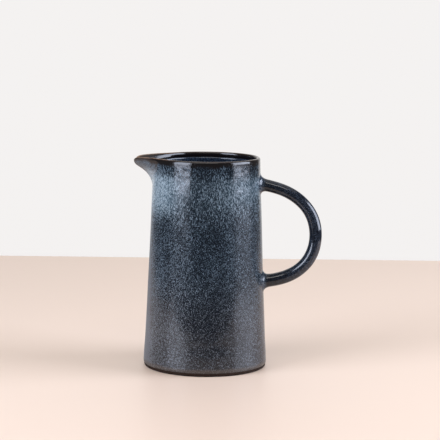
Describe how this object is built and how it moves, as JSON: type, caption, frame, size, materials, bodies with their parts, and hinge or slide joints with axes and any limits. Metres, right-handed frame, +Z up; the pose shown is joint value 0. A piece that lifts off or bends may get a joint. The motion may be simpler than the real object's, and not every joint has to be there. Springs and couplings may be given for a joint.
{
  "type": "pitcher",
  "caption": "Tapered cylindrical stoneware pitcher with a pulled spout, a round ear-shaped handle and a speckled dark blue reactive glaze.",
  "frame": {"origin": "centre of the foot ring, on the surface that the pitcher stands on", "axes": "+Z up along the pot's axis; the handle is on +X and the spout on -X; XZ is the plane of symmetry"},
  "size_m": [0.169, 0.111, 0.19],
  "materials": {
    "stoneware": "bare fired clay, matt",
    "outer_glaze": "glossy reactive glaze, dark navy with dense light blue-grey speckle, brown where thin",
    "inner_glaze": "glossy dark navy liner glaze",
    "handle_glaze": "glossy near-black navy glaze, finely speckled"
  },
  "bodies": {
    "root": {"body": "stoneware", "handle": "stoneware", "upper_handle_slip": "stoneware", "lower_handle_slip": "stoneware", "outer_glaze": "outer_glaze", "inner_glaze": "inner_glaze", "handle_glaze": "handle_glaze"}
  },
  "joints": []
}
